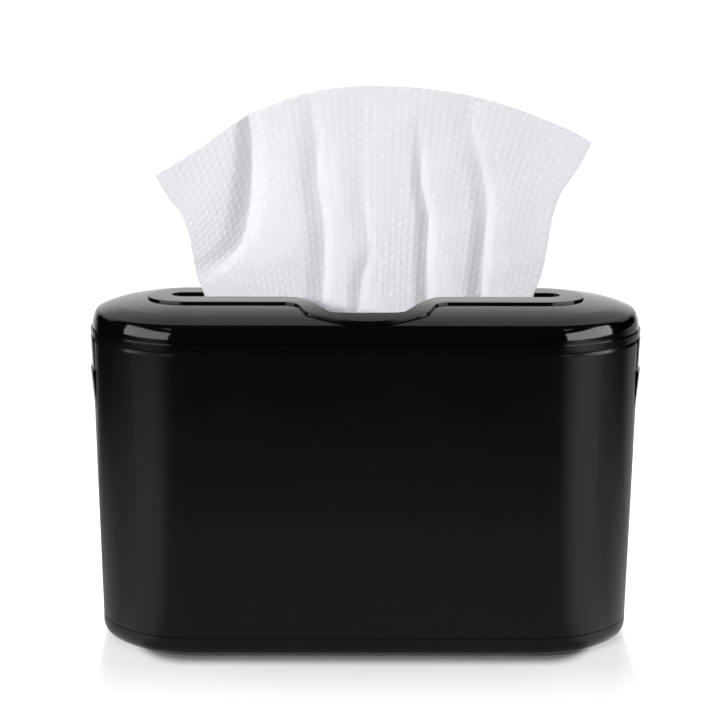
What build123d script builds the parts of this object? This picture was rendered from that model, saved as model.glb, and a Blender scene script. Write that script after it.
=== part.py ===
from build123d import *
from dataclasses import dataclass
import math
import os

# Countertop dispenser for folded paper towels, in millimetres.
# The origin is the middle of the resting surface, +X runs along the length and the front faces -Y.
# A glossy domed lid with a dispensing slot lifts off a satin body, where a sprung platen lifts the towels.

# Towels, which set the size of the rest
towel_width = 240.0
towel_fold_depth = 70.0
stack_height = 42.0
stack_edge_round = 3.0
sheet_thickness = 1.2
sheet_rise = 110.0
sheet_half_width = 85.0
sheet_corner_reach = 26.0
sheet_corner_drop = 12.0
sheet_corner_heights = (64.0, 81.0)
sheet_shoulder = (60.0, 98.0)
sheet_shoulder_swell = 3.0

# Outline, measured over the rim ring
end_room = 22.5
side_room = 22.0
corner_setback = 11.0
end_arc_extra = 14.0

# Body, which narrows towards the base
rim_height = 159.0
body_wall = 2.5
body_step = 0.5
body_end_taper = 5.1
body_side_taper = 0.5
rim_edge_break = 0.7
rim_edge_height = 1.5

# Base
foot_proud = 1.0
base_height = 10.0
base_round = 7.0
base_floor = 2.5
base_seam = 0.4
spigot_height = 6.0
spigot_wall = 2.0

# Rim ring
rim_seam = 0.3
band_height = 3.8
band_edge_break = 0.6
lip_wall = 1.6
lip_height = 3.0
skirt_drop = 7.0
skirt_wall = 1.6
ring_flange = 2.2
flange_reach = 12.5

# Lid
lid_step = 1.0
lid_gap = 0.8
lid_wall = 2.2
lid_edge = 1.2
edge_radius = 13.5
edge_slope = 62.0
shoulder_radius = 3.4
shoulder_slope = 24.0
brow_radius = 46.0
brow_slope = 10.0
crown_radius = 154.0
crown_slope = 1.0

# Slot and the raised panel round it, with a finger notch in a lobe at the front
slot_end_room = 19.5
slot_width = 13.0
panel_strip = 15.5
panel_end_strip = 12.5
panel_proud = 1.1
panel_edge_slope = 20.0
panel_brow_radius = 57.0
panel_brow_slope = 8.5
panel_crown_radius = 184.0
panel_edge_round = 0.4
lobe_margin = 3.4
lobe_strip = 10.6
lobe_root_half_width = 36.5
lobe_half_width = 31.5
lobe_front_radius = 48.0
lobe_root_fillet = 9.0
lobe_corner_fillet = 9.0
notch_root_half_width = 34.8
notch_half_width = 19.2
notch_front_radius = 200.0
notch_root_fillet = 12.0
notch_corner_fillet = 7.0
collar_wall = 1.5
collar_depth = 6.0

# Fits, and how far a cut runs past what it cuts
seat_gap = 0.3
slip_fit = 0.15
shaft_fit = 0.05
over = 1.0

# Stack retainer under the lid
retainer_wall = 2.0
retainer_lap = 6.0
throat_end_room = 13.0
throat_depth = 58.0

# Platen and its lift
platen_wall = 2.4
platen_corner = 5.0
platen_rib_depth = 6.0
platen_rib_wall = 1.6
platen_rib_inset = 3.0
platen_room = 0.5
platen_side_room = 1.0
platen_cross_ribs = (20.0, 60.0, 100.0)
platen_long_rib = 30.0
guide_room = 1.0
guide_wall = 1.8
guide_corner = 5.0
guide_top_drop = 14.0
guide_half_depth = 29.0
guide_slot_drop = 6.0
guide_rail_height = 4.0
guide_rail_wall = 1.2
post_setback = 6.5
post_radius = 3.0
post_top_drop = 7.0
post_edge_break = 0.5
post_socket = 6.5
post_floor = 1.0
seat_wall = 2.2
cap_height = 5.0
cap_bore_depth = 3.5
cap_wall = 1.8
cap_edge_round = 0.9
bush_wall = 1.2
bush_flange = 1.0
bush_flange_lap = 0.85
eye_wall = 1.7
eye_height = 10.5
arm_half_width = 5.0
arm_room = 1.8
spring_wire = 1.1
spring_room = 1.15
spring_turns = 8

# Ribs inside the body that keep the stack upright
stack_rib_wall = 1.6
stack_rib_room = 2.0
stack_rib_places = (27.0, 80.0)
stack_rib_top_drop = 9.5

# Release tabs, one at each end, hinged on pins in the rim ring
tab_half_width = 14.0
tab_drop = 35.5
tab_wall = 1.9
tab_top_proud = 0.55
tab_ledge_proud = 0.3
tab_top_gap = 0.4
grip_height = 18.5
grip_proud = 1.2
tab_pin_inset = 6.4
tab_pin_drop = 2.8
tab_pin_radius = 1.0
tab_web_half = 1.85
knuckle_radius = 2.3
knuckle_half_width = 8.7
ear_wall = 3.0
window_room = 1.0
window_depth = 6.9
retainer_notch = 4.6

# Screws and feet
screw_radius = 1.5
screw_head_radius = 2.9
screw_head_height = 1.8
lid_screw_inset = 8.6
lid_screw_spacing = 84.0
lid_screw_reach = 6.5
lid_boss_radius = 3.4
base_boss_radius = 4.0
base_boss_setback = 9.0
base_boss_height = 13.0
base_gusset_height = 12.0
base_screw_reach = 10.0
foot_radius = 7.5
foot_thickness = 2.4
foot_edge_break = 0.5
foot_places = (92.0, 39.0)

# Sizes and heights that follow from those above
half_length = towel_width / 2 + end_room
half_depth = towel_fold_depth / 2 + side_room
seam_height = foot_proud + base_height
floor_top = foot_proud + base_floor
spigot_top = seam_height + spigot_height
band_bottom = rim_height + rim_seam
band_top = band_bottom + band_height
lid_bottom = band_top + lid_gap
flange_bottom = band_top - ring_flange
retainer_bottom = flange_bottom - retainer_wall
stack_top = retainer_bottom - seat_gap
platen_top = stack_top - stack_height
eye_bottom = platen_top - eye_height
guide_x = towel_width / 2 + guide_room
post_x = towel_width / 2 + post_setback
post_top = rim_height - post_top_drop
post_bottom = floor_top + post_floor
spring_seat = floor_top + post_socket
pin_x = half_length - tab_pin_inset
pin_z = rim_height - tab_pin_drop
tab_top = band_bottom - tab_top_gap
tab_bottom = rim_height - tab_drop
slot_half_length = towel_width / 2 - slot_end_room


@dataclass(frozen=True)
class Plan:
    """A long closed outline: flat sides, corner arcs and a wide arc across each end, all tangent."""

    half_length: float
    half_depth: float
    corner: float
    end: float

    def inset(self, by):
        return Plan(self.half_length - by, self.half_depth - by, self.corner - by, self.end - by)

    def end_centre(self):
        return self.half_length - self.end

    def corner_centre(self):
        y = self.half_depth - self.corner
        x = self.end_centre() + math.sqrt((self.end - self.corner) ** 2 - y**2)
        return x, y

    def wire(self, z=0.0):
        end_x = self.end_centre()
        corner_x, corner_y = self.corner_centre()
        turn = math.atan2(corner_y, corner_x - end_x)
        join = (end_x + self.end * math.cos(turn), self.end * math.sin(turn))
        middle = (turn + math.pi / 2) / 2
        bulge = (corner_x + self.corner * math.cos(middle), corner_y + self.corner * math.sin(middle))
        front = (0, -self.half_depth, z)
        back = (0, self.half_depth, z)
        edges = []
        for side, begin, finish in ((1, front, back), (-1, back, front)):
            # Each half is drawn from the middle of one flat side to the middle of the other
            flat_1 = (side * corner_x, -side * self.half_depth, z)
            bulge_1 = (side * bulge[0], -side * bulge[1], z)
            join_1 = (side * join[0], -side * join[1], z)
            tip = (side * self.half_length, 0, z)
            join_2 = (side * join[0], side * join[1], z)
            bulge_2 = (side * bulge[0], side * bulge[1], z)
            flat_2 = (side * corner_x, side * self.half_depth, z)
            edges.append(Line(begin, flat_1).edge())
            edges.append(ThreePointArc(flat_1, bulge_1, join_1).edge())
            edges.append(ThreePointArc(join_1, tip, join_2).edge())
            edges.append(ThreePointArc(join_2, bulge_2, flat_2).edge())
            edges.append(Line(flat_2, finish).edge())
        return Wire(edges)

    def face(self, z=0.0):
        return Face(self.wire(z))

    def prism(self, low, high):
        return extrude(self.face(low), high - low, dir=(0, 0, 1))


corner_radius = half_depth - corner_setback
ring_plan = Plan(half_length, half_depth, corner_radius, corner_radius + end_arc_extra)
lid_plan = ring_plan.inset(lid_step)
body_top_plan = ring_plan.inset(body_step)


def body_plan(z):
    """The body's outline at height z."""
    share = (rim_height - z) / (rim_height - seam_height)
    side = body_side_taper * share
    return Plan(
        body_top_plan.half_length - body_end_taper * share,
        body_top_plan.half_depth - side,
        body_top_plan.corner - side,
        body_top_plan.end - side,
    )


base_plan = body_plan(seam_height)


def tapered(low, high, inset_low, inset_high):
    """A solid that follows the body's taper, with its own inset at each height."""
    faces = [body_plan(low).inset(inset_low).face(low), body_plan(high).inset(inset_high).face(high)]
    return Part() + loft(faces, ruled=True)


def block(x_range, y_range, z_range):
    ranges = (x_range, y_range, z_range)
    size = [high - low for low, high in ranges]
    centre = [(low + high) / 2 for low, high in ranges]
    return Pos(*centre) * Box(*size)


def rod(x, y, low, high, radius):
    return Pos(x, y, (low + high) / 2) * Cylinder(radius, high - low)


def cross_rod(x, z, half_width, radius):
    return Pos(x, 0, z) * Rot(90, 0, 0) * Cylinder(radius, 2 * half_width)


def mirrored(part):
    """The same piece at the other end."""
    return mirror(part, about=Plane.YZ)


def both_ends(part):
    return part + mirrored(part)


def both_sides(part):
    return part + mirror(part, about=Plane.XZ)


def at_corners(x, y):
    return [(side * x, way * y) for side in (1, -1) for way in (1, -1)]


# The dome is one profile carried round the lid's outline: an upright edge, then tangent arcs.
def arc_step(radius, start, end):
    """How far in and up an arc goes between two slopes, in degrees."""
    start, end = math.radians(start), math.radians(end)
    return radius * (math.sin(start) - math.sin(end)), radius * (math.cos(end) - math.cos(start))


def dome_run(radii, slopes):
    return sum(arc_step(r, a, b)[0] for r, a, b in zip(radii, slopes, slopes[1:]))


def dome_rise(radii, slopes):
    return sum(arc_step(r, a, b)[1] for r, a, b in zip(radii, slopes, slopes[1:]))


def dome(plan, low, inset, height, radii, slopes):
    """A domed solid from low up, its arcs starting at this height on the inset outline."""
    start = inset
    lines = [Line((inset, low), (inset, height))]
    for radius, slope, next_slope in zip(radii, slopes, slopes[1:]):
        run, rise = arc_step(radius, slope, next_slope)
        half_run, half_rise = arc_step(radius, slope, (slope + next_slope) / 2)
        middle = (inset + half_run, height + half_rise)
        lines.append(ThreePointArc((inset, height), middle, (inset + run, height + rise)))
        inset, height = inset + run, height + rise
    lines.append(Line((inset, height), (inset, low)))
    lines.append(Line((inset, low), (start, low)))
    # The profile stands square to the outline at the middle of the front, its inset going back
    front = Plane(origin=(0, -plan.half_depth, 0), x_dir=(0, 1, 0), z_dir=(1, 0, 0))
    rim = sweep(front * make_face(lines), path=plan.wire())
    return Part() + rim + plan.inset(inset).prism(low, height)


lid_slopes = (90.0, edge_slope, shoulder_slope, brow_slope, crown_slope)
lid_radii = (edge_radius, shoulder_radius, brow_radius, crown_radius)
dome_base = lid_bottom + lid_edge
crown_top = dome_base + dome_rise(lid_radii, lid_slopes)
crown_reach = dome_run(lid_radii, lid_slopes)
panel_slopes = (panel_edge_slope, panel_brow_slope, crown_slope)
panel_radii = (panel_brow_radius, panel_crown_radius)
overall_height = crown_top + panel_proud
panel_bottom = crown_top - collar_depth - lid_wall


def lid_solid():
    return dome(lid_plan, lid_bottom, 0, dome_base, lid_radii, lid_slopes)


def lid_hollow():
    """The space under the lid: every arc of the dome, one wall further in."""
    radii = [radius - lid_wall for radius in lid_radii]
    return dome(lid_plan.inset(lid_wall), lid_bottom - over, 0, dome_base, radii, lid_slopes)


def raised_dome():
    """The panel's own top surface, which leans forward less than the lid below it."""
    start = crown_reach - dome_run(panel_radii, panel_slopes)
    height = overall_height - dome_rise(panel_radii, panel_slopes)
    return dome(lid_plan, lid_bottom, start, height, panel_radii, panel_slopes)


def lobe(half_depth_there, root_half, half, reach, radius, root_fillet, corner_fillet, stadium):
    """A stadium with a rounded lobe that swells from its front edge."""
    drop = radius - math.sqrt(radius**2 - half**2)
    corner = (half, drop - reach)
    root = (root_half, -half_depth_there)
    inner = (root_half, 0)
    outline = [
        Line((-inner[0], inner[1]), (-root[0], root[1])),
        Line((-root[0], root[1]), (-corner[0], corner[1])),
        ThreePointArc((-corner[0], corner[1]), (0, -reach), corner),
        Line(corner, root),
        Line(root, inner),
        Line(inner, (-inner[0], inner[1])),
    ]
    sketch = stadium + make_face(outline)
    for (x, y), fillet_radius in ((root, root_fillet), (corner, corner_fillet)):
        near = [v for v in sketch.vertices() if math.hypot(abs(v.X) - x, v.Y - y) < 0.01]
        sketch = fillet(near, fillet_radius)
    return sketch


lobe_reach = lid_plan.half_depth - lobe_margin
notch_reach = lobe_reach - lobe_strip
panel_half_depth = slot_width / 2 + panel_strip


def slot_outline():
    stadium = SlotOverall(2 * slot_half_length, slot_width)
    return lobe(
        slot_width / 2,
        notch_root_half_width,
        notch_half_width,
        notch_reach,
        notch_front_radius,
        notch_root_fillet,
        notch_corner_fillet,
        stadium,
    )


def panel_outline():
    stadium = SlotOverall(2 * (slot_half_length + panel_end_strip), 2 * panel_half_depth)
    return lobe(
        panel_half_depth,
        lobe_root_half_width,
        lobe_half_width,
        lobe_reach,
        lobe_front_radius,
        lobe_root_fillet,
        lobe_corner_fillet,
        stadium,
    )


def upright(sketch, low, high):
    return extrude(Pos(0, 0, low) * sketch, high - low)


def slot_prism(grown, low, high):
    """The slot and notch as a solid, grown sideways by this much."""
    outline = slot_outline()
    if grown:
        outline = offset(outline, amount=grown)
    return upright(outline, low, high)


lid_screw_y = half_depth - lid_screw_inset
lid_screw_rows = (-lid_screw_spacing, 0, lid_screw_spacing)
lid_screw_places = [(x, way * lid_screw_y) for x in lid_screw_rows for way in (1, -1)]


def lid_cover():
    outer = lid_solid()
    cover = outer - lid_hollow()
    bosses = Part()
    for x, y in lid_screw_places:
        bosses += rod(x, y, band_top, crown_top, lid_boss_radius)
    cover += bosses & outer
    for x, y in lid_screw_places:
        cover -= rod(x, y, band_top - over, band_top + lid_screw_reach, screw_radius)
    return cover - slot_prism(collar_wall + slip_fit, lid_bottom, overall_height)


def slot_panel():
    skin = raised_dome() & upright(panel_outline(), lid_bottom, overall_height + over)
    skin = skin - lid_solid()
    collar = slot_prism(collar_wall, panel_bottom, overall_height) & raised_dome()
    panel = skin + collar - slot_prism(0, panel_bottom - over, overall_height + over)
    return fillet(top_edges(panel), panel_edge_round)


def top_edges(panel):
    """The edges that run round the panel's outline on its own top surface."""
    outline = panel_outline().wires()[0]
    surface = raised_dome().faces()
    found = []
    for edge in panel.edges():
        middle = edge @ 0.5
        level = abs((edge % 0.5).Z) < math.cos(math.radians(panel_edge_slope))
        on_outline = outline.distance_to(Vertex(middle.X, middle.Y, 0)) < shaft_fit
        if level and on_outline and min(face.distance_to(Vertex(*middle)) for face in surface) < shaft_fit:
            found.append(edge)
    return found


def rim_ring():
    broken = ring_plan.inset(band_edge_break)
    band = loft([broken.face(band_bottom), ring_plan.face(band_bottom + band_edge_break)], ruled=True)
    ring = Part() + band + ring_plan.prism(band_bottom + band_edge_break, band_top)
    seat = lid_step + lid_wall / 2
    ring += ring_plan.inset(seat).prism(band_top, lid_bottom)
    lip = ring_plan.inset(lid_step + lid_wall + slip_fit)
    ring += lip.prism(band_top, band_top + lip_height)
    skirt = ring_plan.inset(body_step + body_wall + seat_gap * 2)
    ring += skirt.prism(rim_height - skirt_drop, band_bottom)
    ring -= skirt.inset(skirt_wall).prism(rim_height - skirt_drop - over, flange_bottom)
    ring -= lip.inset(lip_wall).prism(band_top, band_top + lip_height + over)
    ring -= ring_plan.inset(flange_reach).prism(flange_bottom - over, band_top + over)
    clear = tab_half_width + window_room
    window = block((pin_x - window_depth, half_length), (-clear, clear), (tab_bottom, band_bottom))
    ring -= both_ends(window)
    ear_near = knuckle_half_width + seat_gap
    ear = block(
        (pin_x - knuckle_radius, pin_x + knuckle_radius),
        (ear_near, ear_near + ear_wall),
        (pin_z - knuckle_radius, flange_bottom + ring_flange / 2),
    )
    ring += both_ends(both_sides(ear))
    ring -= both_ends(cross_rod(pin_x, pin_z, ear_near + ear_wall + over, tab_pin_radius))
    for x, y in lid_screw_places:
        ring -= rod(x, y, flange_bottom - over, band_top + over, screw_radius)
        ring -= rod(x, y, band_top, lid_bottom + lip_height, lid_boss_radius + slip_fit)
    return ring


def stack_retainer():
    plate = ring_plan.inset(retainer_lap).prism(retainer_bottom, flange_bottom)
    throat = SlotOverall(towel_width - 2 * throat_end_room, throat_depth)
    plate = plate - upright(throat, retainer_bottom - over, flange_bottom + over)
    clear = tab_half_width + window_room
    plate -= both_ends(block((pin_x - retainer_notch, half_length), (-clear, clear), (0, lid_bottom)))
    for x, y in lid_screw_places:
        plate -= rod(x, y, retainer_bottom - over, flange_bottom + over, screw_radius)
    return plate


def screw(x, y, head_bottom, reach):
    head = rod(x, y, head_bottom, head_bottom + screw_head_height, screw_head_radius)
    return head + rod(x, y, head_bottom + screw_head_height, head_bottom + reach, screw_radius)


def lid_screws():
    head_bottom = retainer_bottom - screw_head_height
    reach = band_top + lid_screw_reach - head_bottom
    return [screw(x, y, head_bottom, reach) for x, y in lid_screw_places]


def release_tab():
    """The right-hand tab: a tongue that follows the body's end, a wedge to press and a hinge knuckle."""
    ledge = tab_bottom + grip_height
    tongue = tapered(tab_bottom, ledge, 0, -grip_proud)
    tongue += tapered(ledge, tab_top, -tab_ledge_proud, -tab_top_proud)
    tongue -= tapered(tab_bottom - over, tab_top + over, tab_wall, tab_wall)
    width = (-tab_half_width, tab_half_width)
    tongue &= block((pin_x, half_length + grip_proud), width, (tab_bottom, tab_top))
    face_x = body_plan(pin_z).half_length - tab_wall / 2
    web = block(
        (pin_x, face_x),
        (-knuckle_half_width, knuckle_half_width),
        (pin_z - tab_web_half, pin_z + tab_web_half),
    )
    tab = tongue + web + cross_rod(pin_x, pin_z, knuckle_half_width, knuckle_radius)
    return tab - cross_rod(pin_x, pin_z, tab_half_width, tab_pin_radius + shaft_fit)


def tab_pin():
    return Part() + cross_rod(pin_x, pin_z, knuckle_half_width + seat_gap + ear_wall, tab_pin_radius)


def base_boss_places():
    x, y = base_plan.corner_centre()
    reach = (base_plan.corner - body_wall - base_boss_setback) / math.sqrt(2)
    return at_corners(x + reach, y + reach)


def body_shell():
    shell = tapered(seam_height, rim_height - rim_edge_height, 0, 0)
    shell += tapered(rim_height - rim_edge_height, rim_height, 0, rim_edge_break)
    inner = tapered(seam_height - over, rim_height + over, body_wall, body_wall)
    shell -= inner
    near = towel_fold_depth / 2 + stack_rib_room
    rib_half = stack_rib_wall / 2
    rib_bottom, rib_top = spigot_top + seat_gap, rim_height - stack_rib_top_drop
    ribs = Part()
    for x in stack_rib_places:
        ribs += block((x - rib_half, x + rib_half), (near, half_depth), (rib_bottom, rib_top))
    bosses = Part()
    for x, y in base_boss_places():
        bosses += rod(x, y, spigot_top, spigot_top + base_boss_height, base_boss_radius)
        turn = math.copysign(45 if x > 0 else 135, y)
        length = base_boss_setback + body_wall
        gusset = Pos(length / 2, 0, base_boss_height / 2) * Box(length, stack_rib_wall, base_gusset_height)
        bosses += Pos(x, y, spigot_top) * Rot(0, 0, turn) * gusset
    inside = both_ends(both_sides(ribs)) + bosses
    shell += inside & tapered(seam_height, rim_height, body_wall / 2, body_wall / 2)
    for x, y in base_boss_places():
        shell -= rod(x, y, spigot_top - over, spigot_top + base_screw_reach, screw_radius)
    clear = tab_half_width + seat_gap
    low, high = tab_bottom - seat_gap * 2, rim_height + over
    notch = block((post_x, half_length + over), (-clear, clear), (low, high))
    return shell - both_ends(notch)


def base_cap():
    solid = base_plan.prism(foot_proud, seam_height - base_seam)
    solid = fillet(solid.edges().group_by(Axis.Z)[0], base_round)
    spigot = base_plan.inset(body_wall + slip_fit)
    hollow = spigot.inset(spigot_wall)
    cap = solid + spigot.prism(floor_top, spigot_top) - hollow.prism(floor_top, spigot_top + over)
    # At each end a seat takes the post and the spring, and two rails hold the foot of the guide
    near, far = guide_x - slip_fit, guide_x + guide_wall + slip_fit
    rails = block(
        (near - guide_rail_wall, far + guide_rail_wall),
        (-guide_half_depth, guide_half_depth),
        (floor_top, floor_top + guide_rail_height),
    )
    seats = rails + rod(post_x, 0, floor_top, spring_seat, post_radius + seat_wall)
    seats -= block((near, far), (-half_depth, half_depth), (floor_top, spring_seat + over))
    cap += both_ends(seats)
    cap -= both_ends(rod(post_x, 0, post_bottom, spring_seat + over, post_radius))
    for x, y in base_boss_places():
        cap += rod(x, y, floor_top, spigot_top, base_boss_radius)
        cap -= rod(x, y, 0, spigot_top + over, screw_radius)
        cap -= rod(x, y, 0, floor_top + screw_head_height, screw_head_radius + slip_fit)
    for x, y in at_corners(*foot_places):
        cap -= rod(x, y, 0, foot_thickness, foot_radius + slip_fit)
    return cap


def base_screws():
    head_bottom = floor_top
    reach = spigot_top + base_screw_reach - head_bottom
    return [screw(x, y, head_bottom, reach) for x, y in base_boss_places()]


def foot(x, y):
    pad = rod(x, y, 0, foot_thickness, foot_radius)
    return chamfer(pad.edges().group_by(Axis.Z)[0], foot_edge_break)


def end_guide():
    """The right-hand upright that keeps the towels off the post, slotted for the platen's arm."""
    top = rim_height - guide_top_drop
    height = top - floor_top
    side = Plane(origin=(guide_x, 0, floor_top), x_dir=(0, 1, 0), z_dir=(1, 0, 0))
    outline = Pos(0, height / 2) * RectangleRounded(2 * guide_half_depth, height, guide_corner)
    gap = arm_half_width + arm_room
    outline -= Pos(0, height / 2 + guide_slot_drop) * Rectangle(2 * gap, height)
    return Part() + extrude(side * outline, guide_wall)


def guide_post():
    post = rod(post_x, 0, post_bottom, post_top, post_radius)
    return chamfer(post.edges().group_by(Axis.Z)[-1], post_edge_break)


def post_cap():
    bottom = post_top - cap_bore_depth
    cap = rod(post_x, 0, bottom, bottom + cap_height, post_radius + cap_wall)
    cap = fillet(cap.edges().group_by(Axis.Z)[-1], cap_edge_round)
    return cap - rod(post_x, 0, bottom - over, post_top, post_radius)


def platen_bush():
    outer = post_radius + shaft_fit + bush_wall
    bush = rod(post_x, 0, eye_bottom, platen_top, outer)
    bush += rod(post_x, 0, platen_top, platen_top + bush_flange, outer + bush_flange_lap)
    bore_top = platen_top + bush_flange + over
    return bush - rod(post_x, 0, eye_bottom - over, bore_top, post_radius + shaft_fit)


def platen():
    half_x = towel_width / 2 - platen_room
    half_y = towel_fold_depth / 2 - platen_side_room
    bottom = platen_top - platen_wall
    outline = RectangleRounded(2 * half_x, 2 * half_y, platen_corner)
    plate = Part() + upright(outline, bottom, platen_top)
    rib_half = platen_rib_wall / 2
    rib_x, rib_y = half_x - platen_rib_inset, half_y - platen_rib_inset
    heights = (bottom - platen_rib_depth, bottom)
    for x in platen_cross_ribs:
        plate += both_ends(block((x - rib_half, x + rib_half), (-rib_y, rib_y), heights))
    plate += block((-rib_x, rib_x), (-rib_half, rib_half), heights)
    side_rib = (platen_long_rib - rib_half, platen_long_rib + rib_half)
    plate += both_sides(block((-rib_x, rib_x), side_rib, heights))
    eye_radius = post_radius + shaft_fit + bush_wall + eye_wall
    arm_start = max(platen_cross_ribs)
    arm = block((arm_start, post_x), (-arm_half_width, arm_half_width), (eye_bottom, platen_top))
    arm += rod(post_x, 0, eye_bottom, platen_top, eye_radius)
    arm -= rod(post_x, 0, eye_bottom - over, platen_top + over, eye_radius - eye_wall)
    return plate + both_ends(arm)


def towel_stack():
    pile = block(
        (-towel_width / 2, towel_width / 2),
        (-towel_fold_depth / 2, towel_fold_depth / 2),
        (platen_top, stack_top),
    )
    folds = [edge for edge in pile.edges() if abs(edge.length - towel_width) < 0.01]
    return fillet(folds, stack_edge_round)


def biarc(start, start_way, end, end_way):
    """Two tangent arcs from start to end that leave and arrive in the given directions."""
    across = end - start
    both = start_way + end_way
    a = 2 * (start_way.dot(end_way) - 1)
    b = -2 * across.dot(both)
    c = across.dot(across)
    reach = (-b - math.sqrt(b * b - 4 * a * c)) / (2 * a)
    join = (start + start_way * reach + end - end_way * reach) / 2
    first = Edge.make_tangent_arc(start, start_way, join)
    second = Edge.make_tangent_arc(join, (end - end_way * reach - join).normalized(), end)
    return [first, second]


def lift_spring():
    """The right-hand spring: one unbroken coil round the post, from the base to the platen's eye."""
    radius = post_radius + spring_room + spring_wire / 2
    low = spring_seat + seat_gap + spring_wire / 2
    high = eye_bottom - seat_gap - spring_wire / 2
    pitch = (high - low) / spring_turns
    slope = Vector(0, 0, pitch / (2 * math.pi))
    points = []
    for half_turn in range(2 * spring_turns + 1):
        angle = half_turn * math.pi
        out = Vector(math.cos(angle), math.sin(angle), 0)
        along = Vector(-math.sin(angle), math.cos(angle), 0)
        place = Vector(post_x, 0, low + pitch * half_turn / 2) + out * radius
        points.append((place, (along * radius + slope).normalized()))
    edges = []
    for (start, start_way), (end, end_way) in zip(points, points[1:]):
        edges += biarc(start, start_way, end, end_way)
    print("spring: least gap to itself", round(least_gap(edges), 2))
    path = Wire(edges)
    section = Plane(origin=path @ 0, z_dir=path % 0) * Circle(spring_wire / 2)
    return Part() + sweep(section, path=path)


def least_gap(edges):
    """The wire's least gap to itself, between points at least three quarters of a turn apart."""
    points = [edge @ (step / 6) for edge in edges for step in range(6)]
    # A half turn is two arcs, so a full turn holds four and three quarters of one hold three
    apart = 3 * 6
    gaps = [(b - a).length for i, a in enumerate(points) for b in points[i + apart :]]
    return min(gaps) - spring_wire


# The pulled towel: folds run up the sheet, drawn together in the slot and spread at the top.
fold_shares = (0.0, 0.12, 0.25, 0.37, 0.5, 0.62, 0.75, 0.88, 1.0)
fold_depths = (2.2, -2.8, 2.6, -2.0, 3.0, -2.6, 2.4, -2.2)
sheet_levels = (
    # height above the slot panel, half width beyond the slot's share, fold scale, forward lean
    (stack_top + seat_gap - overall_height, 0.0, 0.9, 0.0),
    (2.0, 0.0, 0.9, 0.0),
    (27.0, 7.5, 1.4, 0.5),
    (60.0, 20.0, 2.0, 2.5),
    (115.0, 46.0, 2.3, 6.0),
)


def folded_section(level, widen, scale, lean):
    """One level of the sheet: a chain of arcs, each a fold, there and back one thickness apart."""
    z = overall_height + level
    half = sheet_half_width + widen
    knots = [-half + 2 * half * share for share in fold_shares]
    front, back = -lean - sheet_thickness / 2, -lean + sheet_thickness / 2
    edges = []
    for y, order in ((front, 1), (back, -1)):
        spans = list(zip(knots, knots[1:], fold_depths))[::order]
        for left, right, depth in spans:
            begin, finish = (left, right) if order > 0 else (right, left)
            middle = ((left + right) / 2, y + depth * scale, z)
            edges.append(ThreePointArc((begin, y, z), middle, (finish, y, z)).edge())
        side = knots[-1] if order > 0 else knots[0]
        other = back if order > 0 else front
        edges.append(Line((side, y, z), (side, other, z)).edge())
    return Face(Wire(edges))


def paper_towel():
    sheet = Part() + loft([folded_section(*level) for level in sheet_levels])
    left, right = sheet_corner_heights
    half = sheet_half_width + sheet_levels[-1][1] + over
    shoulder_x, shoulder_z = sheet_shoulder
    corner = sheet_half_width + sheet_corner_reach
    view = Plane(origin=(0, half_depth, overall_height), x_dir=(1, 0, 0), z_dir=(0, -1, 0))
    below = -overall_height
    outline = [
        Line((-half, below), (half, below)),
        Line((half, below), (half, right - sheet_corner_drop)),
        Line((half, right - sheet_corner_drop), (corner, right)),
        ThreePointArc((corner, right), (shoulder_x, shoulder_z + sheet_shoulder_swell), (0, sheet_rise)),
        ThreePointArc((0, sheet_rise), (-shoulder_x, shoulder_z - sheet_shoulder_swell), (-corner, left)),
        Line((-corner, left), (-half, left - sheet_corner_drop)),
        Line((-half, left - sheet_corner_drop), (-half, below)),
    ]
    return sheet & extrude(view * make_face(outline), 2 * half_depth)


def parts():
    """Every separate piece by name."""
    pieces = {
        "lid_cover": lid_cover(),
        "slot_panel": slot_panel(),
        "rim_ring": rim_ring(),
        "stack_retainer": stack_retainer(),
        "lid_screws": lid_screws(),
        "body_shell": body_shell(),
        "base_cap": base_cap(),
        "base_screws": base_screws(),
        "platen": platen(),
        "towel_stack": towel_stack(),
        "paper_towel": paper_towel(),
    }
    at_each_end = {
        "release_tab": release_tab(),
        "tab_pin": tab_pin(),
        "end_guide": end_guide(),
        "guide_post": guide_post(),
        "post_cap": post_cap(),
        "platen_bush": platen_bush(),
        "lift_spring": lift_spring(),
    }
    for name, piece in at_each_end.items():
        pieces[name + "_right"] = piece
        pieces[name + "_left"] = mirrored(piece)
    for name, way in (("front", -1), ("rear", 1)):
        for end, side in (("left", -1), ("right", 1)):
            pieces[f"foot_{name}_{end}"] = foot(side * foot_places[0], way * foot_places[1])
    return pieces


if __name__ == "__main__":
    os.makedirs("parts", exist_ok=True)
    for name, piece in parts().items():
        solids = piece if isinstance(piece, list) else [piece]
        node = Compound(label=name, children=[solid for item in solids for solid in item.solids()])
        export_step(node, f"parts/{name}.step")
        print(name, round(node.volume))
    print("overall height of the dispenser", round(overall_height, 2))
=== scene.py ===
"""Looks for a countertop dispenser of folded paper towels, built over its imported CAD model.

Every length is in metres and every piece stands in the CAD model's own frame: the origin is the middle of the
resting surface, +X runs along the length and the front faces -Y.
"""

import logging
import math
from dataclasses import dataclass, field, replace
from enum import Enum
from typing import Any, Protocol, Sequence

import bpy
import numpy as np
from mathutils import Matrix, Vector


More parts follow.
